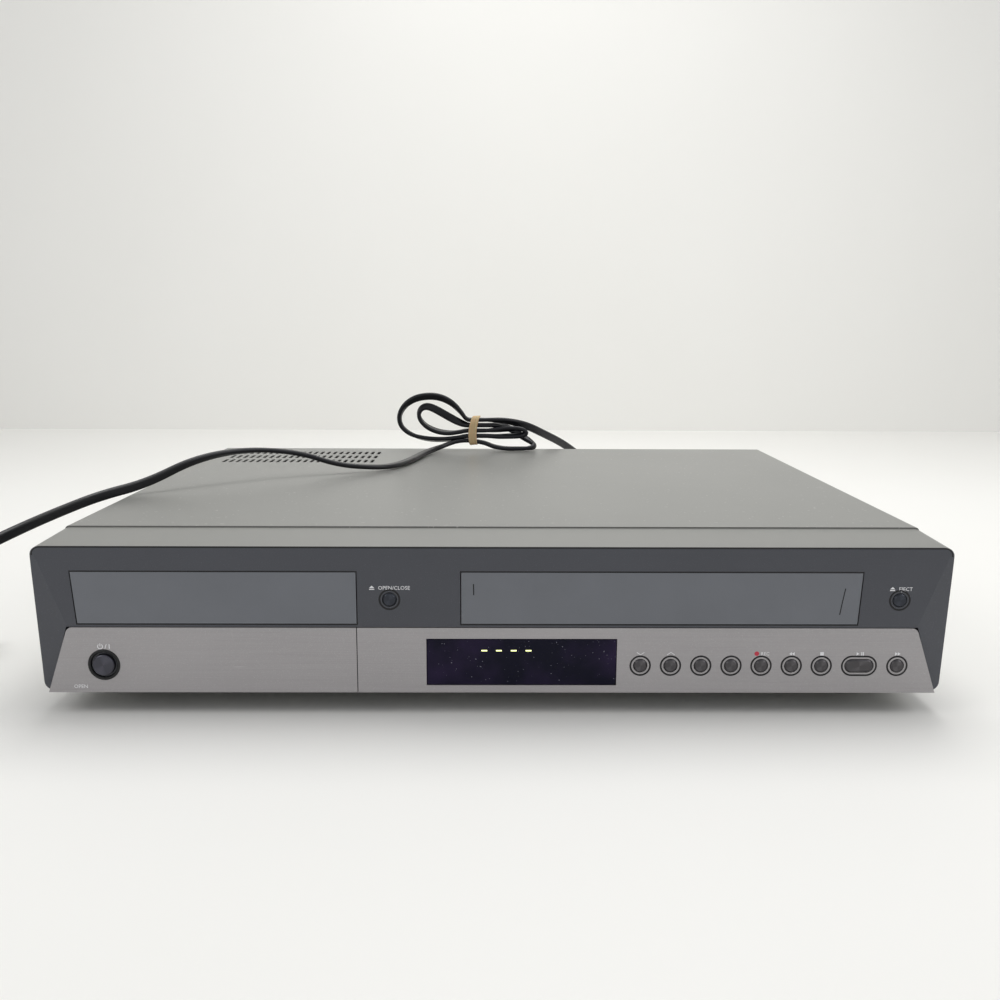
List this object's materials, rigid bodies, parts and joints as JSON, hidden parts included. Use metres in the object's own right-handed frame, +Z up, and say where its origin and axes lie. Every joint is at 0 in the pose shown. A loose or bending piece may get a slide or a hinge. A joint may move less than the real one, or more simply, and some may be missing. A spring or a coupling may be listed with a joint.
{
  "type": "dvd vcr combo player",
  "caption": "Combination disc player and cassette deck with a sliding disc tray, cassette door, jack flap, keys, display and hanked mains lead.",
  "frame": {"origin": "on the table, under the middle of the case box with its front keys and rear sockets", "axes": "+X to the right end seen from the front, -Y out of the front, +Z up"},
  "size_m": [0.523, 0.4268, 0.1299],
  "materials": {
    "silver": "satin grey paint",
    "zinc": "zinc plated sheet",
    "front": "dark blue-grey with a grey top",
    "doors": "dark blue-grey",
    "brushed": "brushed dark grey",
    "window": "tinted",
    "black_rubber": "matte",
    "screw_steel": "bright",
    "keys": "spun",
    "board": "laminate",
    "display": "clear",
    "sockets": "moulded",
    "transformer": "taped",
    "aluminium": "turned",
    "can": "plated sheet",
    "black_plastic": "moulded",
    "white_plastic": "acetal",
    "cord_black": "smooth",
    "cord_band": "matte"
  },
  "bodies": {
    "case": {"top_cover": "silver", "bottom_chassis": "zinc", "rear_panel": "zinc", "front_panel": "front", "lower_panel": "brushed", "display_window": "window", "feet": "black_rubber", "case_screws": "screw_steel", "key_board": "board", "main_board": "board", "power_board": "board", "display_tube": "display", "front_jacks": "sockets", "rear_jacks": "sockets", "power_transformer": "transformer", "heat_sink": "aluminium", "drum_base": "aluminium", "tuner_block": "can", "deck_plate": "can", "clamp_bridge": "can", "loader_frame": "black_plastic", "cord_gland": "cord_black", "cord_lead": "cord_black", "cord_hank": "cord_black", "cord_run": "cord_black", "cord_plug": "cord_black", "cord_tie": "cord_band"},
    "tray": {"disc_tray": "black_plastic", "tray_door": "doors"},
    "tray_gear": {"tray_gear": "white_plastic"},
    "traverse": {"traverse_deck": "black_plastic", "sled_rods": "aluminium"},
    "turntable": {"turntable": "black_plastic"},
    "pickup": {"pickup_sled": "black_plastic"},
    "puck": {"clamp_puck": "black_plastic"},
    "drum": {"head_drum": "aluminium"},
    "supply_reel": {"supply_reel": "black_plastic"},
    "takeup_reel": {"takeup_reel": "black_plastic"},
    "capstan": {"capstan_rotor": "aluminium"},
    "pinch_arm": {"pinch_arm": "can"},
    "pinch_roller": {"pinch_roller": "black_rubber"},
    "left_guide": {"left_guide": "black_plastic"},
    "right_guide": {"right_guide": "black_plastic"},
    "carriage": {"carriage_slide": "can"},
    "holder": {"cassette_holder": "can"},
    "cassette_door": {"cassette_door": "doors"},
    "jack_flap": {"jack_flap": "brushed"},
    "power_key": {"power_key": "keys"},
    "tray_key": {"tray_key": "keys"},
    "eject_key": {"eject_key": "keys"},
    "down_key": {"down_key": "keys"},
    "up_key": {"up_key": "keys"},
    "source_key": {"source_key": "keys"},
    "speed_key": {"speed_key": "keys"},
    "record_key": {"record_key": "keys"},
    "rewind_key": {"rewind_key": "keys"},
    "stop_key": {"stop_key": "keys"},
    "play_key": {"play_key": "keys"},
    "forward_key": {"forward_key": "keys"}
  },
  "joints": [
    {"name": "tray_slide", "type": "slide", "parent": "case", "child": "tray", "axis": [0, -1, 0], "range_m": [0, 0.135]},
    {"name": "gear_spin", "type": "hinge", "parent": "case", "child": "tray_gear", "pos_m": [-0.1751, -0.15325, 0.046], "axis": [0, 0, 1], "range_deg": [0, 645]},
    {"name": "traverse_tilt", "type": "hinge", "parent": "case", "child": "traverse", "pos_m": [-0.1299, -0.00525, 0.041], "axis": [-1, 0, 0], "range_deg": [0, 4.2]},
    {"name": "turntable_spin", "type": "hinge", "parent": "traverse", "child": "turntable", "pos_m": [-0.1299, -0.10325, 0.045], "axis": [0, 0, 1], "continuous": true},
    {"name": "pickup_slide", "type": "slide", "parent": "traverse", "child": "pickup", "axis": [0, 1, 0], "range_m": [0, 0.036]},
    {"name": "puck_spin", "type": "hinge", "parent": "case", "child": "puck", "pos_m": [-0.1299, -0.10325, 0.066], "axis": [0, 0, 1], "continuous": true},
    {"name": "drum_spin", "type": "hinge", "parent": "case", "child": "drum", "pos_m": [0.0783, 0.03575, 0.0236], "axis": [-0.0993, 0, 0.9951], "continuous": true},
    {"name": "supply_reel_spin", "type": "hinge", "parent": "case", "child": "supply_reel", "pos_m": [0.0323, -0.06125, 0.03], "axis": [0, 0, 1], "continuous": true},
    {"name": "takeup_reel_spin", "type": "hinge", "parent": "case", "child": "takeup_reel", "pos_m": [0.1243, -0.06125, 0.03], "axis": [0, 0, 1], "continuous": true},
    {"name": "capstan_spin", "type": "hinge", "parent": "case", "child": "capstan", "pos_m": [0.138, 0.01075, 0.03], "axis": [0, 0, 1], "continuous": true},
    {"name": "pinch_arm_swing", "type": "hinge", "parent": "case", "child": "pinch_arm", "pos_m": [0.158, 0.02475, 0.031], "axis": [0, 0, 1], "range_deg": [0, 29]},
    {"name": "pinch_roller_spin", "type": "hinge", "parent": "pinch_arm", "child": "pinch_roller", "pos_m": [0.14245, 0.02339, 0.038], "axis": [0, 0, 1], "continuous": true},
    {"name": "left_guide_slide", "type": "slide", "parent": "case", "child": "left_guide", "axis": [0, 1, 0], "range_m": [0, 0.028]},
    {"name": "right_guide_slide", "type": "slide", "parent": "case", "child": "right_guide", "axis": [0, 1, 0], "range_m": [0, 0.028]},
    {"name": "carriage_travel", "type": "slide", "parent": "case", "child": "carriage", "axis": [0, 1, 0], "range_m": [0, 0.045]},
    {"name": "holder_drop", "type": "slide", "parent": "carriage", "child": "holder", "axis": [0, 0, -1], "range_m": [0, 0.014], "stiffness_N_per_m": 400, "springref_m": -0.012},
    {"name": "cassette_door_swing", "type": "hinge", "parent": "case", "child": "cassette_door", "pos_m": [0.0783, -0.16675, 0.0749], "axis": [1, 0, 0], "range_deg": [0, 90]},
    {"name": "jack_flap_swing", "type": "hinge", "parent": "case", "child": "jack_flap", "pos_m": [-0.135, -0.16765, 0.0129], "axis": [1, 0, 0], "range_deg": [0, 90]},
    {"name": "power_key_press", "type": "slide", "parent": "case", "child": "power_key", "axis": [0, 1, 0], "range_m": [0, 0.0008], "stiffness_N_per_m": 800},
    {"name": "tray_key_press", "type": "slide", "parent": "case", "child": "tray_key", "axis": [0, 1, 0], "range_m": [0, 0.0008], "stiffness_N_per_m": 800},
    {"name": "eject_key_press", "type": "slide", "parent": "case", "child": "eject_key", "axis": [0, 1, 0], "range_m": [0, 0.0008], "stiffness_N_per_m": 800},
    {"name": "down_key_press", "type": "slide", "parent": "case", "child": "down_key", "axis": [0, 1, 0], "range_m": [0, 0.0008], "stiffness_N_per_m": 800},
    {"name": "up_key_press", "type": "slide", "parent": "case", "child": "up_key", "axis": [0, 1, 0], "range_m": [0, 0.0008], "stiffness_N_per_m": 800},
    {"name": "source_key_press", "type": "slide", "parent": "case", "child": "source_key", "axis": [0, 1, 0], "range_m": [0, 0.0008], "stiffness_N_per_m": 800},
    {"name": "speed_key_press", "type": "slide", "parent": "case", "child": "speed_key", "axis": [0, 1, 0], "range_m": [0, 0.0008], "stiffness_N_per_m": 800},
    {"name": "record_key_press", "type": "slide", "parent": "case", "child": "record_key", "axis": [0, 1, 0], "range_m": [0, 0.0008], "stiffness_N_per_m": 800},
    {"name": "rewind_key_press", "type": "slide", "parent": "case", "child": "rewind_key", "axis": [0, 1, 0], "range_m": [0, 0.0008], "stiffness_N_per_m": 800},
    {"name": "stop_key_press", "type": "slide", "parent": "case", "child": "stop_key", "axis": [0, 1, 0], "range_m": [0, 0.0008], "stiffness_N_per_m": 800},
    {"name": "play_key_press", "type": "slide", "parent": "case", "child": "play_key", "axis": [0, 1, 0], "range_m": [0, 0.0008], "stiffness_N_per_m": 800},
    {"name": "forward_key_press", "type": "slide", "parent": "case", "child": "forward_key", "axis": [0, 1, 0], "range_m": [0, 0.0008], "stiffness_N_per_m": 800}
  ],
  "couplings": [
    {"joint": "gear_spin", "follows": "tray_slide", "rad_per_m": 83.333},
    {"joint": "right_guide_slide", "follows": "left_guide_slide", "ratio": 1}
  ]
}
